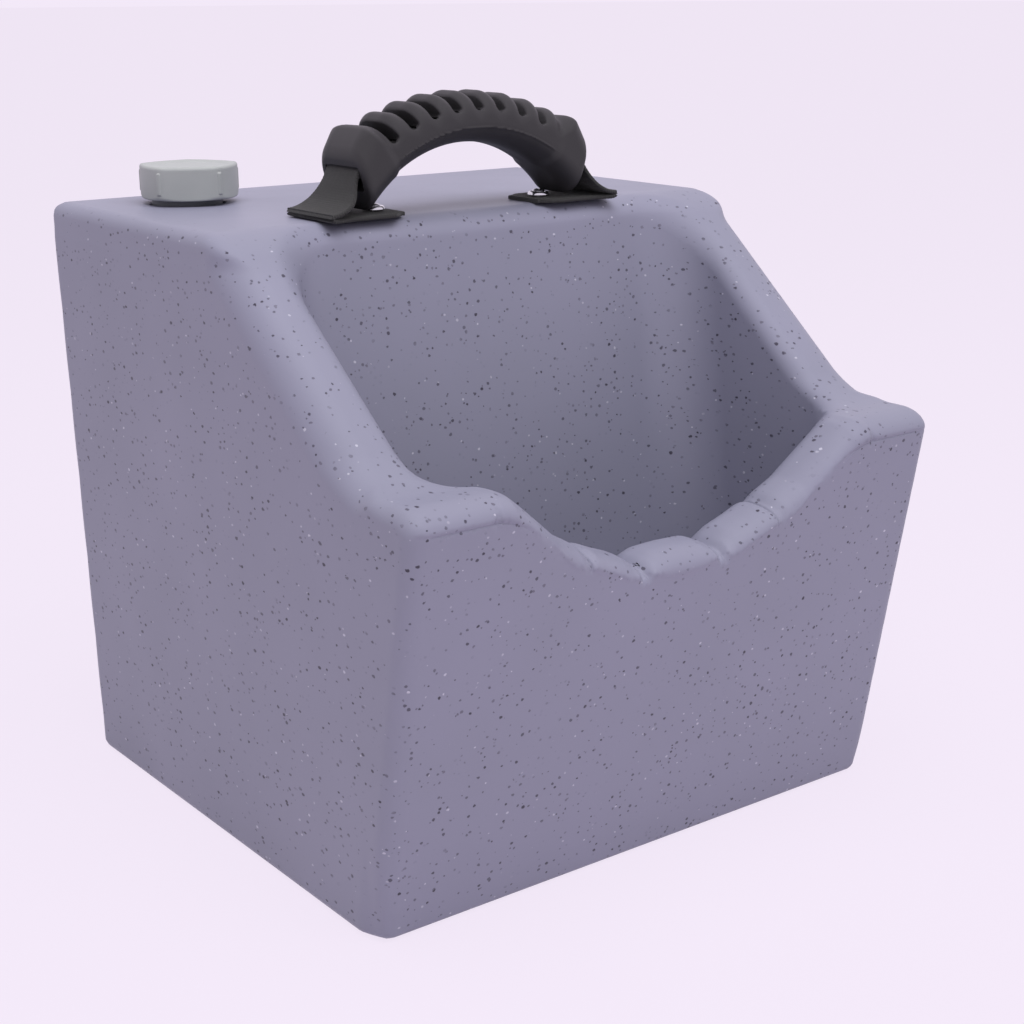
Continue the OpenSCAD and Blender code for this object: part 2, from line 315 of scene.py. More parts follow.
def refine(
    piece: bpy.types.Object, length: float, wanted: Callable[[np.ndarray], np.ndarray], rounds: int
) -> None:
    """Splits the edges of a piece that are longer than length, in one part of it.

    Args:
        piece: The piece.
        length: Longest edge to leave whole, in millimetres.
        wanted: Says of each edge's middle, in millimetres, whether it lies in that part.
        rounds: How many times to split.
    """
    work = bmesh.new()
    work.from_mesh(piece.data)
    for _ in range(rounds):
        edges = list(work.edges)
        ends = np.array([[*e.verts[0].co, *e.verts[1].co] for e in edges]) / MM
        span = np.linalg.norm(ends[:, :3] - ends[:, 3:], axis=1)
        chosen = np.flatnonzero((span > length) & wanted((ends[:, :3] + ends[:, 3:]) / 2))
        if not len(chosen):
            break
        bmesh.ops.subdivide_edges(work, edges=[edges[i] for i in chosen], cuts=1, use_grid_fill=True)
        bmesh.ops.triangulate(work, faces=[f for f in work.faces if len(f.verts) > 3])
    work.to_mesh(piece.data)
    work.free()


def moulded(
    name: str, shape: Shape, low: Sequence[float], high: Sequence[float], step: float, share: float = 1.0,
    details: Sequence[tuple[float, Callable[[np.ndarray], np.ndarray], int]] = (),
) -> bpy.types.Object:
    """Piece with the surface of a shape function, shaded by that function's own slope.

    Args:
        name: The piece's name.
        shape: The shape function.
        low: Lowest corner of a box around it.
        high: Highest corner of that box.
        step: Spacing of the net that the mesh starts from.
        share: Share of the triangles to keep where the surface is flat.
        details: Parts to refine, each as refine() takes them.

    Returns:
        The piece.
    """
    points, faces = skin(shape, low, high, step)
    piece = new_object(name, settle(shape, points, step), faces)
    if share < 1:
        thin_out(piece, share)
    for length, wanted, rounds in details:
        refine(piece, length, wanted, rounds)
    points = settle(shape, mesh_points(piece), step / 2)
    place_points(piece, points)
    mesh = piece.data
    mesh.polygons.foreach_set("use_smooth", [True] * len(mesh.polygons))
    steep = slope_of(shape, points, 0.15)
    steep /= np.maximum(np.linalg.norm(steep, axis=1), 1e-9)[:, None]
    mesh.normals_split_custom_set_from_vertices(steep.tolist())
    return piece


# ---- Node helpers -----------------------------------------------------------------------------


def linear(code: str) -> tuple[float, float, float, float]:
    """Turns an sRGB hex colour such as "#8E8CA3" into linear light."""
    parts = [int(code[i : i + 2], 16) / 255 for i in (1, 3, 5)]
    return (*(c / 12.92 if c <= 0.04045 else ((c + 0.055) / 1.055) ** 2.4 for c in parts), 1.0)


def add(
    tree: bpy.types.NodeTree, kind: str, inputs: dict | None = None, **settings: object
) -> bpy.types.Node:
    """Adds a node with its settings and links.

    Args:
        tree: The tree that it goes in.
        kind: Blender's name of the node type.
        inputs: For each input, by name or number, a value or the output socket that feeds it.
        **settings: The node's own settings.

    Returns:
        The node.
    """
    node = tree.nodes.new(kind)
    for key, value in settings.items():
        setattr(node, key, value)
    for key, value in (inputs or {}).items():
        socket = node.inputs[key]
        if isinstance(value, bpy.types.NodeSocket):
            tree.links.new(value, socket)
        else:
            socket.default_value = value
    return node


def grow(piece: bpy.types.Object, tree: bpy.types.NodeTree, values: dict[str, object]) -> bpy.types.Object:
    """Runs a geometry tree on a piece and keeps the result as a plain mesh.

    Args:
        piece: The object that holds the tree's starting mesh.
        tree: The geometry tree.
        values: The tree's inputs, by name.

    Returns:
        The piece.
    """
    live = piece.modifiers.new(tree.name, "NODES")
    live.node_group = tree
    sockets = {s.name: s.identifier for s in tree.interface.items_tree if s.item_type == "SOCKET"}
    for name, value in values.items():
        live[sockets[name]] = value
    return baked(piece)


def geometry_tree(name: str, inputs: dict[str, str]) -> tuple[bpy.types.NodeTree, bpy.types.Node]:
    """Empty geometry tree with named inputs.

    Args:
        name: The tree's name.
        inputs: The kind of socket for each input's name, after the geometry.

    Returns:
        The tree and its input node.
    """
    tree = bpy.data.node_groups.new(name, "GeometryNodeTree")
    tree.interface.new_socket("Geometry", in_out="INPUT", socket_type="NodeSocketGeometry")
    for label, kind in inputs.items():
        tree.interface.new_socket(label, in_out="INPUT", socket_type=kind)
    tree.interface.new_socket("Geometry", in_out="OUTPUT", socket_type="NodeSocketGeometry")
    return tree, tree.nodes.new("NodeGroupInput")


def material_tree(name: str) -> tuple[bpy.types.Material, bpy.types.NodeTree]:
    """New material and its empty node tree."""
    made = bpy.data.materials.new(name)
    made.use_nodes = True
    made.node_tree.nodes.clear()
    return made, made.node_tree


# ---- Finishes ---------------------------------------------------------------------------------


@dataclass(frozen=True)
class SpeckledPolyethylene:
    """Rotationally moulded polyethylene, dyed powder with coloured flecks.

    The skin is satin with a faint orange peel, and the flecks that melt in last lie at every depth,
    so some are crisp and some are veiled.
    """

    base: str = "#88879C"
    shade: str = "#828294"
    dark: str = "#332F3E"
    veiled: str = "#5B5869"
    pale: str = "#B9B7C7"
    roughness: float = 0.46
    dark_cell: float = 4.8
    veiled_cell: float = 5.4
    pale_cell: float = 7.4
    top_height: float = 326.0

    def flecks(
        self, tree: bpy.types.NodeTree, place: bpy.types.NodeSocket, cell: float, size: tuple[float, float], turn: float
    ) -> bpy.types.NodeSocket:
        """One family of flecks.

        Args:
            tree: The material's tree.
            place: The coordinates, in metres.
            cell: Mean distance between flecks in the solid, in millimetres.
            size: Smallest and largest radius, in millimetres.
            turn: Turns this family away from the others, in radians.

        Returns:
            A socket that is 1 in a fleck and 0 outside.
        """
        turned = add(
            tree, "ShaderNodeMapping", {"Vector": place, "Rotation": (
                turn, 2 * turn, 0.5
            ), "Scale": (1, 0.72, 1.15)}
        )
        cells = add(
            tree, "ShaderNodeTexVoronoi", {"Vector": turned.outputs[0], "Scale": 1 / (
                cell * MM
            ), "Randomness": 1.0}
        )
        chance = add(tree, "ShaderNodeSeparateColor", {"Color": cells.outputs["Color"]})
        radius = add(
            tree, "ShaderNodeMapRange",
            {"Value": chance.outputs[0], "To Min": size[0] / cell, "To Max": size[1] / cell},
        )
        inner = add(tree, "ShaderNodeMath", {0: radius.outputs[0], 1: 0.62}, operation="MULTIPLY")
        spot = add(
            tree,
            "ShaderNodeMapRange",
            {
                "Value": cells.outputs["Distance"], "From Min": radius.outputs[0], "From Max": inner.outputs[0],
                "To Min": 0.0, "To Max": 1.0,
            },
            interpolation_type="SMOOTHSTEP",
        )
        strength = add(
            tree, "ShaderNodeMapRange", {"Value": chance.outputs[1], "To Min": 0.6, "To Max": 1.0}
        )
        return add(
            tree, "ShaderNodeMath", {0: spot.outputs[0], 1: strength.outputs[0]}, operation="MULTIPLY"
        ).outputs[0]

    def make(self) -> bpy.types.Material:
        """Builds the material."""
        made, tree = material_tree("rotomoulded_polyethylene_speckled")
        place = add(tree, "ShaderNodeTexCoord").outputs["Object"]
        # Irregular fleck outlines: the coordinates wander by a fraction of a millimetre
        wander = add(tree, "ShaderNodeTexNoise", {"Vector": place, "Scale": 1 / (1.6 * MM), "Detail": 1.0})
        centred = add(
            tree, "ShaderNodeVectorMath", {0: wander.outputs["Color"], 1: (
                0.5, 0.5, 0.5
            )}, operation="SUBTRACT"
        )
        shift = add(
            tree, "ShaderNodeVectorMath", {0: centred.outputs[0], "Scale": 1.1 * MM}, operation="SCALE"
        )
        bent = add(
            tree, "ShaderNodeVectorMath", {0: place, 1: shift.outputs[0]}, operation="ADD"
        ).outputs[0]
        # Flecks gather in loose drifts, 20 mm or so across
        drift = add(tree, "ShaderNodeTexNoise", {"Vector": place, "Scale": 1 / (17 * MM), "Detail": 2.0})
        crowd = add(
            tree, "ShaderNodeMapRange",
            {"Value": drift.outputs["Fac"], "From Min": 0.38, "From Max": 0.5, "To Min": 0.12, "To Max": 1.0},
        )
        # The flat top shows hardly any flecks
        height = add(tree, "ShaderNodeSeparateXYZ", {"Vector": place})
        below = add(
            tree,
            "ShaderNodeMapRange",
            {
                "Value": height.outputs["Z"], "From Min": self.top_height * MM,
                "From Max": (self.top_height + 3.5) * MM, "To Min": 1.0, "To Max": 0.14,
            },
        )
        gate = add(tree, "ShaderNodeMath", {0: crowd.outputs[0], 1: below.outputs[0]}, operation="MULTIPLY")
        clouds = add(tree, "ShaderNodeTexNoise", {"Vector": place, "Scale": 1 / (70 * MM), "Detail": 3.0})
        colour = add(
            tree, "ShaderNodeMix",
            {"Factor": clouds.outputs["Fac"], "A": linear(self.base), "B": linear(self.shade)},
            data_type="RGBA",
        ).outputs["Result"]
        for code, cell, size, turn in (
            (self.veiled, self.veiled_cell, (0.5, 1.2), 2.3), (self.pale, self.pale_cell, (0.45, 1.0), 1.1),
            (self.dark, self.dark_cell, (0.5, 1.3), 0.2),
        ):
            spots = self.flecks(tree, bent, cell, size, turn)
            share = add(tree, "ShaderNodeMath", {0: spots, 1: gate.outputs[0]}, operation="MULTIPLY")
            colour = add(
                tree, "ShaderNodeMix", {"Factor": share.outputs[0], "A": colour, "B": linear(code)},
                data_type="RGBA",
            ).outputs["Result"]
        peel = add(tree, "ShaderNodeTexNoise", {"Vector": place, "Scale": 1 / (2.2 * MM), "Detail": 3.0})
        sink = add(tree, "ShaderNodeTexNoise", {"Vector": place, "Scale": 1 / (48 * MM), "Detail": 1.0})
        broad = add(
            tree, "ShaderNodeBump", {"Height": sink.outputs["Fac"], "Distance": 0.45 * MM, "Strength": 0.6}
        )
        fine = add(
            tree, "ShaderNodeBump",
            {"Height": peel.outputs["Fac"], "Distance": 0.05 * MM, "Strength": 0.5, "Normal": broad.outputs[0]},
        )
        gloss = add(
            tree, "ShaderNodeMapRange",
            {"Value": clouds.outputs["Fac"], "To Min": self.roughness - 0.05, "To Max": self.roughness + 0.07},
        )
        surface = add(
            tree, "ShaderNodeBsdfPrincipled",
            {"Base Color": colour, "Roughness": gloss.outputs[0], "IOR": 1.5, "Normal": fine.outputs[0]},
        )
        add(tree, "ShaderNodeOutputMaterial", {"Surface": surface.outputs[0]})
        return made


@dataclass(frozen=True)
class MouldedFinish:
    """One-colour moulded plastic or rubber: a fine spark-eroded grain, handled smoother in places."""

    name: str
    colour: str
    worn: str
    roughness: float
    grain: float
    depth: float
    ior: float = 1.5

    def make(self) -> bpy.types.Material:
        """Builds the material."""
        made, tree = material_tree(self.name)
        place = add(tree, "ShaderNodeTexCoord").outputs["Object"]
        clouds = add(tree, "ShaderNodeTexNoise", {"Vector": place, "Scale": 1 / (14 * MM), "Detail": 4.0})
        grain = add(
            tree, "ShaderNodeTexNoise", {"Vector": place, "Scale": 1 / (self.grain * MM), "Detail": 2.0}
        )
        colour = add(
            tree, "ShaderNodeMix",
            {"Factor": clouds.outputs["Fac"], "A": linear(self.colour), "B": linear(self.worn)},
            data_type="RGBA",
        )
        gloss = add(
            tree, "ShaderNodeMapRange",
            {"Value": clouds.outputs["Fac"], "To Min": self.roughness - 0.06, "To Max": self.roughness + 0.06},
        )
        bump = add(
            tree, "ShaderNodeBump", {"Height": grain.outputs["Fac"], "Distance": self.depth * MM, "Strength": 0.6}
        )
        surface = add(
            tree,
            "ShaderNodeBsdfPrincipled",
            {
                "Base Color": colour.outputs["Result"], "Roughness": gloss.outputs[0], "IOR": self.ior,
                "Normal": bump.outputs[0],
            },
        )
        add(tree, "ShaderNodeOutputMaterial", {"Surface": surface.outputs[0]})
        return made


@dataclass(frozen=True)
class TurnedMetal:
    """Bare or plated metal: bright, with fine marks that break up its shine."""

    name: str
    colour: str
    roughness: float

    def make(self) -> bpy.types.Material:
        """Builds the material."""
        made, tree = material_tree(self.name)
        place = add(tree, "ShaderNodeTexCoord").outputs["Object"]
        marks = add(tree, "ShaderNodeTexNoise", {"Vector": place, "Scale": 1 / (0.9 * MM), "Detail": 2.0})
        gloss = add(
            tree, "ShaderNodeMapRange",
            {"Value": marks.outputs["Fac"], "To Min": self.roughness * 0.6, "To Max": self.roughness * 1.5},
        )
        bump = add(
            tree, "ShaderNodeBump", {"Height": marks.outputs["Fac"], "Distance": 0.02 * MM, "Strength": 0.3}
        )
        surface = add(
            tree,
            "ShaderNodeBsdfPrincipled",
            {
                "Base Color": linear(self.colour), "Metallic": 1.0, "Roughness": gloss.outputs[0],
                "Normal": bump.outputs[0],
            },
        )
        add(tree, "ShaderNodeOutputMaterial", {"Surface": surface.outputs[0]})
        return made


@dataclass(frozen=True)
class WovenPolypropylene:
    """Heavy black webbing: thick weft ribs across the strap, split by finer warp ends."""

    thread: str = "#262626"
    # raised is the paler grey that the weave's crests take: painted highlight on the crests, with painted shade left in
    # the hollows.
    raised: str = "#373737"
    rib: float = 1.6
    end: float = 1.3

    def make(self) -> bpy.types.Material:
        """Builds the material, which reads the strip's own along and across lengths."""
        made, tree = material_tree("polypropylene_webbing_woven")
        waves = []
        for name, spacing in (("along", self.rib), ("across", self.end)):
            length = add(tree, "ShaderNodeAttribute", attribute_name=name).outputs["Fac"]
            turn = add(
                tree, "ShaderNodeMath", {0: length, 1: 2 * math.pi / (spacing * MM)}, operation="MULTIPLY"
            )
            waves.append(add(tree, "ShaderNodeMath", {0: turn.outputs[0]}, operation="SINE").outputs[0])
        weave = add(tree, "ShaderNodeMath", {0: waves[0], 1: waves[1]}, operation="MULTIPLY")
        height = add(
            tree, "ShaderNodeMapRange", {"Value": weave.outputs[0], "From Min": -1.0, "From Max": 1.0}
        )
        fuzz = add(
            tree, "ShaderNodeTexNoise",
            {"Vector": add(
                tree, "ShaderNodeTexCoord"
            ).outputs["Object"], "Scale": 1 / (0.5 * MM), "Detail": 3.0},
        )
        relief = add(
            tree, "ShaderNodeMath", {0: fuzz.outputs["Fac"], 1: height.outputs[0]}, operation="ADD"
        )
        # Colour follows the weave's height: crests paler and hollows darker, as painted highlight and painted shade.
        colour = add(
            tree, "ShaderNodeMix",
            {"Factor": height.outputs[0], "A": linear(
                self.thread
            ), "B": linear(self.raised)}, data_type="RGBA",
        )
        bump = add(
            tree, "ShaderNodeBump", {"Height": relief.outputs[0], "Distance": 0.25 * MM, "Strength": 0.8}
        )
        surface = add(
            tree,
            "ShaderNodeBsdfPrincipled",
            {
                "Base Color": colour.outputs["Result"], "Roughness": 0.82, "Sheen Weight": 0.12,
                "Sheen Roughness": 0.4, "Normal": bump.outputs[0],
            },
        )
        add(tree, "ShaderNodeOutputMaterial", {"Surface": surface.outputs[0]})
        return made


# Polypropylene for the screw cap: a paler, greyer plastic with a satin moulding grain
CAP_PLASTIC = MouldedFinish("polypropylene_cap_moulded", "#A0A3A4", "#A9ACAC", 0.48, 0.7, 0.03)
# The neck is spun in; its dark bluish grey, much darker than the cap, is painted shadow for the shaded gap under the
# cap
NECK_PAINTED_SHADE = MouldedFinish("polyethylene_neck_moulded", "#6E7077", "#777A80", 0.5, 0.9, 0.03)
# Thermoplastic rubber over the grip: dull, with a soft sheen on its crowns
GRIP_RUBBER = MouldedFinish("thermoplastic_rubber_moulded", "#262527", "#2F2E30", 0.52, 0.8, 0.05)
# Cut sheet rubber under the cap
GASKET_RUBBER = MouldedFinish("sheet_rubber_cut", "#262628", "#303032", 0.7, 0.5, 0.03, 1.52)
# Brass inserts, turned; nickel-plated washers, pressed; stainless screws, cold headed
INSERT_BRASS = TurnedMetal("brass_turned", "#B59A4A", 0.3)
WASHER_STEEL = TurnedMetal("nickel_plated_steel_pressed", "#D8DADC", 0.16)
SCREW_STEEL = TurnedMetal("stainless_steel_headed", "#C9CBCE", 0.2)


def paint(piece: bpy.types.Object, finish: bpy.types.Material) -> None:
    """Gives every face of a piece one material."""
    piece.data.materials.clear()
    piece.data.materials.append(finish)


# ---- Tank -------------------------------------------------------------------------------------


@dataclass
class Tank:
    """The hollow moulded tank with its basin, feed port and filler opening. Lengths in millimetres."""

    finish: bpy.types.Material
    ledge: float = 226.0
    front_lip: float = 186.0
    back_lip: float = 184.3
    front_lean: float = 40.0
    back_lean: float = 20.0
    slope_top_y: float = -12.0
    slope_foot_y: float = -138.0
    wall: float = 5.0
    rim_wall: float = 3.0
    edge_roll: float = 9.0
    slope_roll: float = 10.0
    slope_foot_roll: float = 13.0
    slope_top_roll: float = 11.0
    back_roll: float = 6.0
    foot_roll: float = 4.5
    rim_width: float = 34.0
    rim_roll_front: float = 19.0
    rim_roll_inner: float = 11.5
    rim_proud: float = 0.8
    basin_floor: float = 45.0
    basin_back_top_y: float = -8.0
    basin_lean: float = 0.16
    basin_draft: float = 0.04
    basin_corner: float = 34.0
    basin_front_corner: float = 26.0
    basin_floor_roll: float = 28.0
    port_radius: float = 15.0
    port_height: float = 80.0
    boss_radius: float = 9.0
    boss_depth: float = 19.0
    net: float = 3.0
    # Crest of the front rim: distance from the middle, height
    crest_line: tuple[tuple[float, float], ...] = (
        (
            0, 176.2
        ), (16, 175.6), (23, 172.6), (26, 168.8), (29, 172.8), (36, 177.6), (48, 182.2), (58, 186.6),
        (62.5, 185.8), (67, 190.4), (80, 197.6), (92, 207.8), (104, 218.0), (111, 223.6), (118, 226.0),
        (122, 226.6), (132, 240.0),
    )
    # Lower edge of the rolled rim on the front face: distance from the middle, height
    roll_line: tuple[tuple[float, float], ...] = (
        (
            0, 163.6
        ), (14, 165.0), (26, 168.5), (34, 165.8), (46, 172.0), (62, 178.5), (72, 180.6), (84, 191.4),
        (96, 202.6), (106, 209.5), (116, 214.6), (124, 215.6),
    )
    # Places across the rim of the creases between the dip's five pads
    creases: tuple[float, ...] = (-62.8, -26.0, 26.0, 62.2)
    low: np.ndarray = field(default_factory=lambda: node_box("tank_shell")[0])
    high: np.ndarray = field(default_factory=lambda: node_box("tank_shell")[1])

    def __post_init__(self) -> None:
        """Works out the curves of the front rim."""
        self.half_width = float(self.high[0])
        self.height = float(self.high[2])
        self.back_foot = self.back_lip - self.back_lean
        self.neck = node_middle("filler_neck")
        self.neck_radius = (node_box("cap_gasket")[1] - node_box("cap_gasket")[0])[0] / 2 - 1.6
        self.inserts = [node_middle("insert_left"), node_middle("insert_right")]
        self.insert_radius = (node_box("insert_left")[1] - node_box("insert_left")[0])[0] / 2
        self.rail = np.arange(0.0, 200.0, 0.5)
        self.crest_rail = self.smoothed(self.crest_line, 1.2)
        self.roll_rail = self.smoothed(self.roll_line, 2.6)
        self.steep_rail = np.gradient(self.crest_rail, self.rail)

    def smoothed(self, line: tuple[tuple[float, float], ...], spread: float) -> np.ndarray:
        """Height at each step of the rail for a line of points, with its corners eased.

        Args:
            line: Distance from the middle and height of each point.
            spread: How far each corner is eased, in millimetres.

        Returns:
            One height for each step of the rail.
        """
        reach = 24
        span = np.abs(np.arange(-reach, len(self.rail) + reach) * 0.5)
        heights = np.interp(span, [p[0] for p in line], [p[1] for p in line])
        weights = np.exp(-((np.arange(-reach, reach + 1) * 0.5 / spread) ** 2) / 2)
        return np.convolve(heights, weights / weights.sum(), "valid")

    def outside(self, x: np.ndarray, y: np.ndarray, z: np.ndarray) -> np.ndarray:
        """The tank's outer surface, without its basin."""
        span = np.abs(x)
        crest = np.interp(span, self.rail, self.crest_rail)
        roll = np.interp(span, self.rail, self.roll_rail)
        steep = np.interp(span, self.rail, self.steep_rail)
        front_foot = -self.front_lip + self.front_lean
        front = plane(y, z, (-self.front_lip, self.ledge), (front_foot, 0))
        front = -front - self.rim_proud * ramp(-1.2, 1.4, z - roll)
        back = -plane(y, z, (self.back_foot, 0), (self.back_foot + self.back_lean, self.height))
        slope = plane(y, z, (self.slope_foot_y, self.ledge), (self.slope_top_y, self.height))
        dip = (z - crest - 200 * ramp(-125, -95, y)) / np.hypot(1, steep)
        roof = join(slope, z - self.ledge, self.slope_foot_roll)
        roof = np.maximum(meet(roof, z - self.height, self.slope_top_roll), dip)
        lobe = np.clip(crest - roll, 7.0, 13.0)
        body = meet(front, roof, self.rim_roll_front, lobe)
        on_slope = ramp(326, 312, z) * ramp(-150, -135, y)
        body = meet(body, span - self.half_width, self.edge_roll + self.slope_roll * on_slope)
        body = meet(body, back, self.back_roll)
        return meet(body, -z, self.foot_roll)

    def basin(self, x: np.ndarray, y: np.ndarray, z: np.ndarray) -> np.ndarray:
        """The space of the drinking basin."""
        depth = self.height - z
        half = self.half_width - self.rim_width - self.basin_draft * depth
        side = np.abs(x) - half
        back_y = self.basin_back_top_y - self.basin_lean * depth
        back = (y - back_y) / math.hypot(1, self.basin_lean)
        lean = self.front_lean / self.ledge
        front_y = -self.front_lip + self.rim_width + lean * (self.ledge - z)
        front = (front_y - y) / math.hypot(1, lean)
        space = meet(side, back, self.basin_corner)
        space = meet(space, front, self.basin_front_corner)
        return meet(space, self.basin_floor - z, self.basin_floor_roll)

    def marks(self, x: np.ndarray, y: np.ndarray, z: np.ndarray) -> np.ndarray:
        """Depth of the fine creases that the mould leaves on the rim."""
        span = np.abs(x)
        crest = np.interp(span, self.rail, self.crest_rail)
        roll = np.interp(span, self.rail, self.roll_rail)
        near_front = ramp(-138, -146, y)
        depth = np.zeros(np.broadcast(x, y, z).shape)
        for place in self.creases:
            lean = 0.05 * (z - crest) + 0.9 * np.sin((y + 150) / 9)
            cross = groove(x - place - lean, 0.62, 1.3)
            depth = depth + cross * ramp(-2.5, 2.5, z - roll) * near_front
        # Parting line under the roll, along both flat ends of the ledge
        line = groove(z - roll + 0.9, 0.5, 0.45)
        depth = depth + line * ramp(104, 114, span) * ramp(166, 156, span) * near_front
        return depth

    def shape(self, x: np.ndarray, y: np.ndarray, z: np.ndarray) -> np.ndarray:
        """The whole tank: skin, basin, hollow, port and openings."""
        outer = self.outside(x, y, z)
        space = self.basin(x, y, z)
        solid = meet(outer, -space, self.rim_roll_inner)
        # The hollow keeps a little further off near the rim, where the skin turns tightly
        hollow = solid + self.wall + self.rim_wall * ramp(140, 180, z)
        for place in self.inserts:
            boss = np.hypot(x - place[0], y - place[1]) - self.boss_radius
            hollow = np.maximum(hollow, -np.maximum(boss, self.height - self.boss_depth - z))
        solid = np.maximum(solid, -hollow)
        neck = np.hypot(x - self.neck[0], y - self.neck[1]) - self.neck_radius
        solid = np.maximum(solid, -np.maximum(neck, self.height - 15 - z))
        port = np.hypot(x, z - self.port_height) - self.port_radius
        solid = np.maximum(solid, -np.maximum(port, np.maximum(-90 - y, y)))
        for place in self.inserts:
            hole = np.hypot(x - place[0], y - place[1]) - self.insert_radius
            solid = np.maximum(solid, -np.maximum(hole, self.height - 14 - z))
        return solid + self.marks(x, y, z)

    def build(self) -> bpy.types.Object:
        """Builds the tank's mesh."""

        def on_rim(middle: np.ndarray) -> np.ndarray:
            """Edges on the front rim."""
            return (middle[:, 1] < -140) & (middle[:, 2] > 155) & (np.abs(middle[:, 0]) < 168)

        def on_crease(middle: np.ndarray) -> np.ndarray:
            """Edges next to a crease."""
            near = np.min([np.abs(middle[:, 0] - c) for c in self.creases], axis=0) < 2.4
            return near & (middle[:, 1] < -140) & (middle[:, 2] > 160)

        def on_line(middle: np.ndarray) -> np.ndarray:
            """Edges next to the parting line."""
            span = np.abs(middle[:, 0])
            under = np.abs(middle[:, 2] - np.interp(span, self.rail, self.roll_rail) + 0.9) < 1.6
            return under & (span > 104) & (span < 166) & (middle[:, 1] < -160)

        return moulded(
            "tank_moulding", self.shape, self.low - 6, self.high + 6, self.net, 0.3,
            ((3.2, on_rim, 2), (0.9, on_crease, 3), (1.0, on_line, 2)),
        )

    def dress(self, piece: bpy.types.Object) -> None:
        """Finishes the tank and ties it to its body."""
        paint(piece, self.finish)
        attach(piece, Body.TANK.value)
        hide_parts("tank_shell")


# ---- Filler -----------------------------------------------------------------------------------


@dataclass
class Filler:
    """Neck, gasket and screw cap in the tank's left back corner. Lengths in millimetres."""

    cap_finish: bpy.types.Material
    neck_shade_finish: bpy.types.Material
    gasket_finish: bpy.types.Material
    radius: float = 28.8
    flats: int = 5
    flat_radius: float = 26.1
    belly: float = 0.55
    skirt: float = 1.8
    first_flat: float = 243.0
    top_chamfer: float = 1.9
    foot_chamfer: float = 1.8
    dish: float = 1.1
    rib_half_width: float = 1.3
    rib_proud: float = 0.45
    bore: float = 22.2
    thread_pitch: float = 5.0
    thread_depth: float = 1.4
    net: float = 0.7

    def shape(self, x: np.ndarray, y: np.ndarray, z: np.ndarray) -> np.ndarray:
        """The screw cap: five flats between ribs, a dished top, and a threaded bore."""
        low, high = node_box("filler_cap")
        low = low - np.array([0, 0, self.skirt])
        middle = (low + high) / 2
        dx, dy = x - middle[0], y - middle[1]
        away = np.hypot(dx, dy)
        angle = np.arctan2(dy, dx)
        step = 2 * math.pi / self.flats
        turned = (angle - math.radians(self.first_flat) + step / 2) % step - step / 2
        flat = away * (1 - self.belly * (1 - np.cos(turned))) - self.flat_radius
        body = meet(flat, away - self.radius, 0.8)
        # A low rib stands on each corner, short of the chamfers
        off_corner = away * np.sin(np.abs(turned) - step / 2)
        rib = meet(np.abs(off_corner) - self.rib_half_width, away - self.radius - self.rib_proud, 0.7)
        rib = meet(rib, np.abs(z - middle[2]) - (high[2] - low[2]) / 2 + 3.2, 0.8)
        body = np.minimum(body, rib)
        top = z - high[2] + self.dish * ramp(self.radius - 4, self.radius - 9, away)
        body = meet(body, top, self.top_chamfer)
        foot = (away * 0.75 + low[2] - z - (self.radius - self.foot_chamfer) * 0.75) / 1.25
        body = meet(meet(body, low[2] - z, 0.6), foot, 1.0)
        turns = (z - low[2]) / self.thread_pitch - angle / (2 * math.pi)
        ridge = np.abs((turns % 1.0) - 0.5) * self.thread_pitch
        cut = self.thread_depth * ramp(1.5, 0.4, ridge) * ramp(0.5, 2.5, z - low[2])
        roof = node_box("cap_gasket")[1][2]
        hole = np.maximum(away - self.bore + cut * 0.9, z - roof)
        return np.maximum(body, -hole)

    def build(self) -> bpy.types.Object:
        """Builds the cap's mesh."""
        low, high = node_box("filler_cap")
        return moulded("filler_cap_moulding", self.shape, low - 3, high + 3, self.net)

    def dress(self, piece: bpy.types.Object) -> None:
        """Finishes the cap, the neck and the gasket, and ties the cap to its body."""
        paint(piece, self.cap_finish)
        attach(piece, Body.CAP.value)
        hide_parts("filler_cap")
        # The neck's dark grey is painted shade: it stands in for the shadow in the gap under the cap.
        paint(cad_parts["filler_neck"], self.neck_shade_finish)
        paint(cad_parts["cap_gasket"], self.gasket_finish)


# ---- Handle grip ------------------------------------------------------------------------------


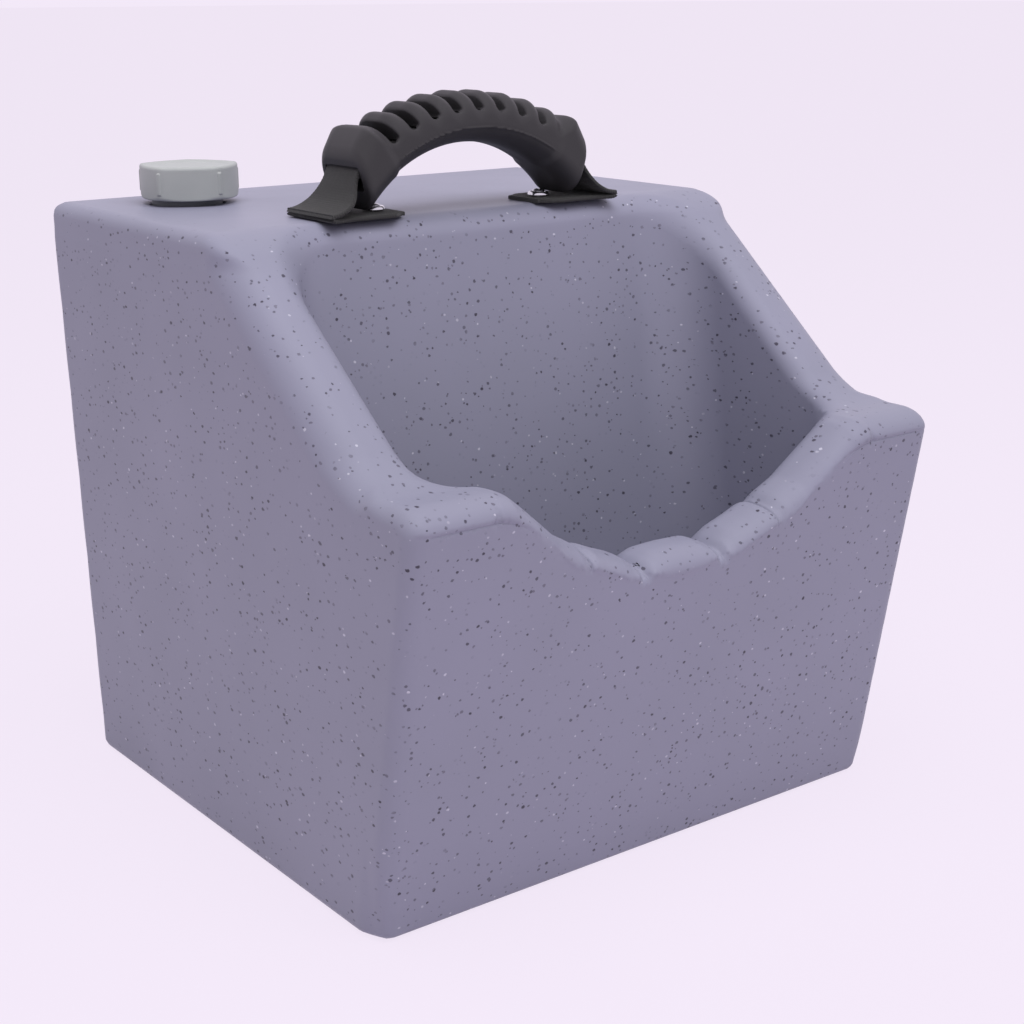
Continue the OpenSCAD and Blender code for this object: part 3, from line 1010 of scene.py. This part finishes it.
@dataclass
class Grip:
    """The rubber grip: an arch with slots through its crown and a hood at each end."""

    finish: bpy.types.Material
    arch_z: float = 281.0
    under: float = 85.0
    crown_radius: float = 138.0
    crown_z: float = 255.0
    half_width: float = 21.0
    hood_half_width: float = 22.5
    roll: float = 10.5
    slots: int = 8
    slot_step: float = 8.0
    slot_offset: float = -2.9
    slot_half: float = 2.9
    slot_floor: float = 101.2
    bump: float = 1.5
    strap_radius: float = 100.0
    strap_half: float = 16.4
    net: float = 1.0

    def shape(self, x: np.ndarray, y: np.ndarray, z: np.ndarray) -> np.ndarray:
        """The grip."""
        middle = node_middle("grip")
        dx, dy, rise = np.abs(x - middle[0]), y - middle[1], z - self.arch_z
        out = np.hypot(dx, rise)
        lean = np.degrees(np.arctan2(dx, rise))
        signed = lean * np.sign(x - middle[0])
        hood = ramp(33.0, 36.5, lean)
        # Crown: a flatter circle than the underside, bumped between the slots
        shifted = signed - self.slot_offset
        wave = np.cos(np.radians(shifted / self.slot_step * 360 + 180 * (self.slots % 2)))
        fade = ramp(36.0, 31.5, lean)
        crown = np.hypot(dx, z - self.crown_z) - self.crown_radius - self.bump * (wave - 0.6) * fade
        hood_top = plane(dx, z, (69.5, 378.5), (78.5, 362))
        hood_top = meet(hood_top, out - 119.5, 4)
        top = np.where(hood > 0, crown * (1 - hood) + hood_top * hood, crown)
        side = np.abs(dy) - self.half_width - (self.hood_half_width - self.half_width) * hood
        body = meet(top, side, self.roll + 3 - 4 * hood, self.roll + 6 - 5 * hood)
        body = meet(body, self.under - out, self.roll + 7 - 3 * hood, self.roll + 1)
        end = plane(dx, z, (69.0, 336.5), (77.5, 364.0)) * -1
        body = meet(body, end, 3.2)
        # Slots, down to the strap, with round ends on the sides
        half = (self.slots - 1) / 2
        nearest = np.clip(np.round(shifted / self.slot_step + half), 0, self.slots - 1) - half
        off = (shifted - nearest * self.slot_step) * math.pi / 180 * out
        floor = self.slot_floor + 3.2 * ramp(14, 24, np.abs(dy))
        slot = meet(np.abs(off) - self.slot_half, floor - out, 2.6)
        body = meet(body, -slot, 1.1)
        # Passage for the strap, flared at the mouths
        mouth = ramp(40, 47, lean)
        lift = out - self.strap_radius - 2.0 * mouth
        passage = meet(np.abs(lift) - 1.9 - 4.4 * mouth, np.abs(dy) - self.strap_half, 1.5)
        body = np.maximum(body, -passage)
        # Raised parting line along both sides
        seam = groove(out - 93.5 - 1.2 * (lean / 40) ** 2, 0.55, 0.5) * ramp(36, 30, lean)
        return body - seam * ramp(self.half_width - 5, self.half_width - 1, np.abs(dy))

    def build(self) -> bpy.types.Object:
        """Builds the grip's mesh."""
        low, high = node_box("grip")
        return moulded("grip_moulding", self.shape, low - 9, high + 5, self.net)

    def dress(self, piece: bpy.types.Object) -> None:
        """Finishes the grip and ties it to its body."""
        paint(piece, self.finish)
        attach(piece, Body.HANDLE.value)
        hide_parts("grip")


# ---- Webbing ----------------------------------------------------------------------------------


@dataclass
class Webbing:
    """The strap: its core in the grip, a leg and a folded, screwed-down tail at each end."""

    finish: bpy.types.Material
    width: float = 40.0
    thickness: float = 2.2
    flare: float = 1.16
    gather: float = 0.8
    rib_depth: float = 0.08
    rib: float = 1.6
    step: float = 0.5
    fold_x: float = 96.6
    tail_x: float = 45.0
    deck: float = 330.0
    seam_height: float = 345.0

    def tree(self) -> bpy.types.NodeTree:
        """Geometry tree that sweeps the strap's section along a path and raises its weft ribs.

        Returns:
            The tree. Its starting mesh is a line of points with a stretch value for the width.
        """
        tree, start = geometry_tree(
            "webbing_strip",
            {
                "Width": "NodeSocketFloat", "Thickness": "NodeSocketFloat", "Middle": "NodeSocketFloat",
                "Step": "NodeSocketFloat", "Rib spacing": "NodeSocketFloat", "Rib depth": "NodeSocketFloat",
                "Material": "NodeSocketMaterial",
            },
        )
        value = start.outputs
        line = add(tree, "GeometryNodeMeshToCurve", {"Mesh": value["Geometry"]})
        dense = add(
            tree, "GeometryNodeResampleCurve", {"Curve": line.outputs[0], "Length": value["Step"]},
            mode="LENGTH",
        )
        upright = add(tree, "GeometryNodeSetCurveNormal", {"Curve": dense.outputs[0]}, mode="Z_UP")
        spline = add(tree, "GeometryNodeSplineParameter")
        marked = add(
            tree, "GeometryNodeStoreNamedAttribute",
            {"Geometry": upright.outputs[0], "Name": "along", "Value": spline.outputs["Length"]},
            data_type="FLOAT", domain="POINT",
        )
        section = add(
            tree, "GeometryNodeCurvePrimitiveQuadrilateral",
            {"Width": value["Width"], "Height": value["Thickness"]}, mode="RECTANGLE",
        )
        corner = add(tree, "ShaderNodeMath", {0: value["Thickness"], 1: 0.42}, operation="MULTIPLY")
        soft = add(
            tree, "GeometryNodeFilletCurve",
            {"Curve": section.outputs[0], "Radius": corner.outputs[0], "Count": 4}, mode="POLY",
        )
        filled = add(
            tree, "GeometryNodeCurveToMesh",
            {"Curve": marked.outputs[0], "Profile Curve": soft.outputs[0], "Fill Caps": True},
        )
        place = add(tree, "GeometryNodeInputPosition")
        split = add(tree, "ShaderNodeSeparateXYZ", {"Vector": place.outputs[0]})
        across = add(
            tree, "ShaderNodeMath", {0: split.outputs["Y"], 1: value["Middle"]}, operation="SUBTRACT"
        )
        stretch = add(tree, "GeometryNodeInputNamedAttribute", {"Name": "stretch"}, data_type="FLOAT")
        more = add(tree, "ShaderNodeMath", {0: stretch.outputs[0], 1: 1.0}, operation="SUBTRACT")
        wider = add(
            tree, "ShaderNodeMath", {0: across.outputs[0], 1: more.outputs[0]}, operation="MULTIPLY"
        )
        sideways = add(tree, "ShaderNodeCombineXYZ", {"Y": wider.outputs[0]})
        flared = add(
            tree, "GeometryNodeSetPosition", {"Geometry": filled.outputs[0], "Offset": sideways.outputs[0]}
        )
        kept = add(
            tree, "GeometryNodeStoreNamedAttribute",
            {"Geometry": flared.outputs[0], "Name": "across", "Value": across.outputs[0]}, data_type="FLOAT",
            domain="POINT",
        )
        length = add(tree, "GeometryNodeInputNamedAttribute", {"Name": "along"}, data_type="FLOAT")
        turns = add(
            tree, "ShaderNodeMath", {0: length.outputs[0], 1: value["Rib spacing"]}, operation="DIVIDE"
        )
        angle = add(tree, "ShaderNodeMath", {0: turns.outputs[0], 1: 2 * math.pi}, operation="MULTIPLY")
        wave = add(tree, "ShaderNodeMath", {0: angle.outputs[0]}, operation="SINE")
        lift = add(
            tree, "ShaderNodeMath", {0: wave.outputs[0], 1: value["Rib depth"]}, operation="MULTIPLY"
        )
        facing = add(tree, "GeometryNodeInputNormal")
        raised = add(
            tree, "ShaderNodeVectorMath", {0: facing.outputs[0], "Scale": lift.outputs[0]}, operation="SCALE",
        )
        ribbed = add(
            tree, "GeometryNodeSetPosition", {"Geometry": kept.outputs[0], "Offset": raised.outputs[0]}
        )
        real = add(tree, "GeometryNodeRealizeInstances", {"Geometry": ribbed.outputs[0]})
        done = add(
            tree, "GeometryNodeSetMaterial", {"Geometry": real.outputs[0], "Material": value["Material"]}
        )
        add(tree, "NodeGroupOutput", {"Geometry": done.outputs[0]})
        return tree

    def strip(
        self, tree: bpy.types.NodeTree, name: str, path: Sequence[tuple[float, float]], stretch: Sequence[float]
    ) -> bpy.types.Object:
        """One length of strap.

        Args:
            tree: The webbing tree.
            name: The piece's name.
            path: Middle line as X and Z.
            stretch: Width at each point, as a share of the strap's own width.

        Returns:
            The piece.
        """
        middle = node_middle("grip")[1]
        points = [(x, middle, z) for x, z in path]
        piece = new_object(name, points, [])
        piece.data.edges.add(len(points) - 1)
        for i, edge in enumerate(piece.data.edges):
            edge.vertices = (i, i + 1)
        share = piece.data.attributes.new("stretch", "FLOAT", "POINT")
        share.data.foreach_set("value", list(stretch))
        values = {
            "Width": self.width * MM, "Thickness": self.thickness * MM, "Middle": middle * MM,
            "Step": self.step * MM, "Rib spacing": self.rib * MM, "Rib depth": self.rib_depth * MM,
            "Material": self.finish,
        }
        grow(piece, tree, values)
        work = bmesh.new()
        work.from_mesh(piece.data)
        bmesh.ops.remove_doubles(work, verts=work.verts, dist=0.02 * MM)
        bmesh.ops.recalc_face_normals(work, faces=work.faces)
        work.to_mesh(piece.data)
        work.free()
        piece.data.polygons.foreach_set("use_smooth", [True] * len(piece.data.polygons))
        return piece

    def curve(self, corners: Sequence[tuple[float, float]], spacing: float = 0.5) -> np.ndarray:
        """Smooth line through a few points.

        Args:
            corners: The points that it follows, as X and Z.
            spacing: Distance between the points of the result.

        Returns:
            The points of the line.
        """
        given = np.array(corners, float)
        length = np.concatenate([[0], np.cumsum(np.linalg.norm(np.diff(given, axis=0), axis=1))])
        steps = np.linspace(0, length[-1], max(8, int(length[-1] / spacing)))
        raw = np.stack([np.interp(steps, length, given[:, i]) for i in (0, 1)], 1)
        for _ in range(24):
            raw[1:-1] = raw[1:-1] * 0.5 + (raw[:-2] + raw[2:]) * 0.25
        return raw

    def build(self) -> dict[str, bpy.types.Object]:
        """Builds every length of the strap.

        Returns:
            The pieces by name.
        """
        tree = self.tree()
        centre = node_middle("grip")[0]
        made = {}
        turn = np.radians(np.linspace(-45.0, 45.0, 121))
        core = [(centre + 100 * math.sin(a), 281 + 100 * math.cos(a)) for a in turn]
        made["strap_core_webbing"] = self.strip(tree, "strap_core_webbing", core, [self.gather] * len(core))
        half = self.thickness / 2
        for side in Side:
            name = side.name.lower()
            leg = self.curve(
                [
                    (
                        71.5, 359.0
                    ), (74.6, 353.5), (76.6, 348.5), (78.6, 343.5), (81.8, 338.8), (87.0, 335.6),
                    (92.0, self.deck + 3 * half + 0.7), (self.fold_x - 1.5, self.deck + 3 * half + 0.5),
                ]
            )
            widen = self.gather + (self.flare - self.gather) * ramp(352.0, 334.5, leg[:, 1])
            above = leg[:, 1] >= self.seam_height
            first = int(np.argmin(above))
            for part, rows in (("upper", slice(0, first + 1)), ("lower", slice(first, None))):
                path = [(centre + side.value * x, z) for x, z in leg[rows]]
                title = f"strap_leg_{part}_{name}"
                made[title] = self.strip(tree, title, path, widen[rows])
            tail = self.curve(
                [
                    (self.tail_x, self.deck + half + 0.15), (self.fold_x - 3.0, self.deck + half + 0.15),
                    (
                        self.fold_x, self.deck + 2 * half + 0.2
                    ), (self.fold_x - 3.0, self.deck + 3 * half + 0.4),
                ]
            )
            path = [(centre + side.value * x, z) for x, z in tail]
            shares = 1 + (self.flare - 1) * ramp(self.fold_x - 16, self.fold_x - 2, tail[:, 0])
            shares = shares * (1 - 0.3 * ramp(self.tail_x + 11, self.tail_x, tail[:, 0]))
            title = f"strap_tail_{name}"
            made[title] = self.strip(tree, title, path, shares)
        return made

    def dress(self, made: dict[str, bpy.types.Object]) -> None:
        """Ties the core to the handle and each tail to the tank; the legs only get their placement baked into their
        meshes.
        """
        core = made["strap_core_webbing"]
        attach(core, Body.HANDLE.value)
        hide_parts("strap_core")
        for side in Side:
            name = side.name.lower()
            lower, upper = made[f"strap_leg_lower_{name}"], made[f"strap_leg_upper_{name}"]
            tail = made[f"strap_tail_{name}"]
            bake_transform(lower)
            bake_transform(upper)
            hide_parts(f"strap_leg_{name}")
            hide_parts(f"strap_leg_{name}")
            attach(tail, Body.TANK.value)
            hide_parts(f"strap_foot_{name}")


# ---- Fasteners --------------------------------------------------------------------------------


@dataclass
class Fasteners:
    """Cup washers and cross-headed screws that hold the strap, and the brass inserts under them."""

    washer_finish: bpy.types.Material
    screw_finish: bpy.types.Material
    insert_finish: bpy.types.Material
    washer_radius: float = 6.3
    washer_bore: float = 2.7
    head_radius: float = 4.1
    shank_radius: float = 2.4
    shank_length: float = 15.0
    recess: float = 0.5
    seed: int = 11

    def washer(self, x: np.ndarray, y: np.ndarray, z: np.ndarray) -> np.ndarray:
        """A pressed cup washer standing on Z = 0."""
        away = np.hypot(x, y)
        ring = 1.2 * (np.hypot((away - 5.0) / 1.25, (z - 0.1) / 1.95) - 1)
        body = meet(ring, -z, 0.25)
        return np.maximum(np.maximum(body, self.washer_bore - away), away - self.washer_radius)

    def screw(self, x: np.ndarray, y: np.ndarray, z: np.ndarray) -> np.ndarray:
        """A raised countersunk screw whose head sits in the washer."""
        away = np.hypot(x, y)
        dome = np.hypot(away, z + 2.4) - 6.1
        cone = plane(away, z, (2.4, 0.6), (self.head_radius, 2.5)) * -1
        head = meet(dome, cone, 0.25)
        head = meet(head, away - self.head_radius, 0.3)
        head = np.maximum(head, 0.2 - z)
        shank = np.maximum(away - self.shank_radius, np.maximum(z - 1.2, -self.shank_length - z))
        body = np.minimum(head, shank)
        for a, b in ((x, y), (y, x)):
            wing = np.maximum(np.abs(a) - self.recess, np.abs(b) - 2.1 + 0.25 * (3.7 - z))
            body = meet(body, -np.maximum(wing, 2.1 - z), 0.15)
        return body

    def tree(self) -> bpy.types.NodeTree:
        """Geometry tree that sets one fastener at each end of the handle, turned at random."""
        tree, start = geometry_tree(
            "fastener_pair",
            {
                "First": "NodeSocketVector", "Second": "NodeSocketVector", "Seed": "NodeSocketInt",
                "Material": "NodeSocketMaterial",
            },
        )
        value = start.outputs
        line = add(tree, "GeometryNodeMeshLine", {"Count": 2}, mode="END_POINTS")
        tree.links.new(value["First"], line.inputs["Start Location"])
        tree.links.new(value["Second"], line.inputs["Offset"])
        turn = add(
            tree, "FunctionNodeRandomValue",
            {"Min": (0.0, 0.0, 0.0), "Max": (0.0, 0.0, math.pi), "Seed": value["Seed"]},
            data_type="FLOAT_VECTOR",
        )
        both = add(
            tree, "GeometryNodeInstanceOnPoints",
            {"Points": line.outputs[0], "Instance": value["Geometry"], "Rotation": turn.outputs[0]},
        )
        real = add(tree, "GeometryNodeRealizeInstances", {"Geometry": both.outputs[0]})
        done = add(
            tree, "GeometryNodeSetMaterial", {"Geometry": real.outputs[0], "Material": value["Material"]}
        )
        add(tree, "NodeGroupOutput", {"Geometry": done.outputs[0]})
        return tree

    def build(self) -> dict[str, bpy.types.Object]:
        """Builds the washers and the screws.

        Returns:
            The pieces by name.
        """
        tree = self.tree()
        stands = []
        for side in Side:
            low, high = node_box(f"finish_washer_{side.name.lower()}")
            stands.append(Vector(((low[0] + high[0]) / 2, (low[1] + high[1]) / 2, low[2] - 0.9)) * MM)
        made = {}
        for name, shape, low, high, net, finish in (
            ("cup_washers", self.washer, (-7.5, -7.5, -1), (7.5, 7.5, 3.5), 0.3, self.washer_finish),
            ("handle_screws", self.screw, (-5.5, -5.5, -16.5), (5.5, 5.5, 5), 0.28, self.screw_finish),
        ):
            piece = moulded(name, shape, low, high, net)
            values = {"First": stands[0], "Second": stands[1], "Seed": self.seed, "Material": finish}
            made[name] = grow(piece, tree, values)
        return made

    def dress(self, made: dict[str, bpy.types.Object]) -> None:
        """Ties the fasteners to the tank and finishes the inserts."""
        for name, node, slot in (
            (
                "cup_washers", "finish_washer", "washer_steel"
            ), ("handle_screws", "handle_screw", "screw_steel"),
        ):
            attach(made[name], Body.TANK.value)
            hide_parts(f"{node}_left", f"{node}_right")
        for side in Side:
            paint(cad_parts[f"insert_{side.name.lower()}"], self.insert_finish)


# ---- Studio -----------------------------------------------------------------------------------


@dataclass
class Studio:
    """Camera, pale floor and soft light. Lengths in metres."""

    eye: tuple[float, float, float] = (-0.58210, -0.80207, 0.44454)
    yaw: float = 37.2197
    pitch: float = 16.3139
    roll: float = -0.2916
    lens: float = 62.74
    shift: tuple[float, float] = (-0.00617, 0.00188)
    paper: str = "#F3E9F8"
    ambient: float = 0.48
    floor_size: float = 120.0
    floor_glow: float = 0.93

    def camera(self) -> None:
        """Sets up the camera."""
        yaw, pitch, roll = (math.radians(a) for a in (self.yaw, self.pitch, self.roll))
        ahead = Vector((math.sin(yaw) * math.cos(pitch), math.cos(yaw) * math.cos(pitch), -math.sin(pitch)))
        level = Vector((math.cos(yaw), -math.sin(yaw), 0))
        above = level.cross(ahead)
        right = level * math.cos(roll) + above * math.sin(roll)
        up = above * math.cos(roll) - level * math.sin(roll)
        turn = Matrix((right, up, -ahead)).transposed().to_4x4()
        data = bpy.data.cameras.new("studio_camera")
        data.lens, data.sensor_width = self.lens, 36.0
        data.shift_x, data.shift_y = self.shift
        data.clip_start, data.clip_end = 0.01, 300
        camera = bpy.data.objects.new("studio_camera", data)
        camera.matrix_world = Matrix.Translation(self.eye) @ turn
        bpy.context.scene.collection.objects.link(camera)
        bpy.context.scene.camera = camera

    def seen_by_eye(self, tree: bpy.types.NodeTree) -> bpy.types.NodeSocket:
        """Socket that is 1 for rays from the eye and for reflections of the room."""
        path = add(tree, "ShaderNodeLightPath")
        return add(
            tree, "ShaderNodeMath", {0: path.outputs["Is Camera Ray"], 1: path.outputs["Is Glossy Ray"]},
            operation="MAXIMUM",
        ).outputs[0]

    def room(self) -> None:
        """Sets up the world, which shows as pale paper and lights softly from all round."""
        world = bpy.data.worlds.new("pale_room")
        world.use_nodes = True
        tree = world.node_tree
        tree.nodes.clear()
        shown = add(tree, "ShaderNodeBackground", {"Color": linear(self.paper), "Strength": 1.0})
        soft = add(tree, "ShaderNodeBackground", {"Color": linear("#FFFDFF"), "Strength": self.ambient})
        both = add(
            tree, "ShaderNodeMixShader", {0: self.seen_by_eye(
                tree
            ), 1: soft.outputs[0], 2: shown.outputs[0]}
        )
        add(tree, "ShaderNodeOutputWorld", {"Surface": both.outputs[0]})
        bpy.context.scene.world = world

    def floor(self) -> None:
        """Lays the floor: paper that glows a little to the eye and keeps a soft shadow."""
        half = self.floor_size / 2 / MM
        piece = new_object(
            "studio_floor", [(
                -half, -half, 0
            ), (half, -half, 0), (half, half, 0), (-half, half, 0)], [(0, 1, 2, 3)]
        )
        made, tree = material_tree("paper_sweep_matte")
        matte = add(tree, "ShaderNodeBsdfDiffuse", {"Color": linear(self.paper)})
        glow = add(tree, "ShaderNodeEmission", {"Color": linear(self.paper), "Strength": 1.0})
        share = add(
            tree, "ShaderNodeMath", {0: self.seen_by_eye(tree), 1: self.floor_glow}, operation="MULTIPLY"
        )
        both = add(
            tree, "ShaderNodeMixShader", {0: share.outputs[0], 1: matte.outputs[0], 2: glow.outputs[0]}
        )
        add(tree, "ShaderNodeOutputMaterial", {"Surface": both.outputs[0]})
        paint(piece, made)

    def lamp(
        self, name: str, place: Sequence[float], aim: Sequence[float], size: float, power: float
    ) -> None:
        """Hangs one soft square lamp.

        Args:
            name: The lamp's name.
            place: Where it hangs.
            aim: The point that it faces.
            size: Its width.
            power: Its power in watts.
        """
        data = bpy.data.lights.new(name, "AREA")
        data.shape, data.size, data.energy = "SQUARE", size, power
        made = bpy.data.objects.new(name, data)
        made.location = place
        made.rotation_euler = (Vector(aim) - Vector(place)).to_track_quat("-Z", "Y").to_euler()
        made.visible_glossy = False
        bpy.context.scene.collection.objects.link(made)

    def build(self) -> None:
        """Sets up the whole studio."""
        bpy.context.scene.view_settings.view_transform = "Standard"
        self.camera()
        self.room()
        self.floor()
        self.lamp("overhead_softbox", (-0.3, -0.35, 2.0), (0, 0, 0.3), 1.6, 29)
        self.lamp("front_softbox", (0.3, -1.3, 1.7), (0, 0, 0.15), 1.0, 10)


def report(name: str, piece: bpy.types.Object) -> None:
    """Logs a piece's name and its number of faces."""
    log.info("%s: %d faces", name, len(piece.data.polygons))


def main() -> None:
    """Builds and dresses every piece in order."""
    logging.basicConfig(level=logging.INFO, format="%(message)s")
    Studio().build()
    webbing_finish = WovenPolypropylene().make()
    tank = Tank(SpeckledPolyethylene().make())
    piece = tank.build()
    tank.dress(piece)
    report(piece.name, piece)
    filler = Filler(CAP_PLASTIC.make(), NECK_PAINTED_SHADE.make(), GASKET_RUBBER.make())
    piece = filler.build()
    filler.dress(piece)
    report(piece.name, piece)
    grip = Grip(GRIP_RUBBER.make())
    piece = grip.build()
    grip.dress(piece)
    report(piece.name, piece)
    webbing = Webbing(webbing_finish)
    made = webbing.build()
    webbing.dress(made)
    fasteners = Fasteners(WASHER_STEEL.make(), SCREW_STEEL.make(), INSERT_BRASS.make())
    fixed = fasteners.build()
    fasteners.dress(fixed)
    for name, piece in {**made, **fixed}.items():
        report(name, piece)


if __name__ == "__main__":
    main()
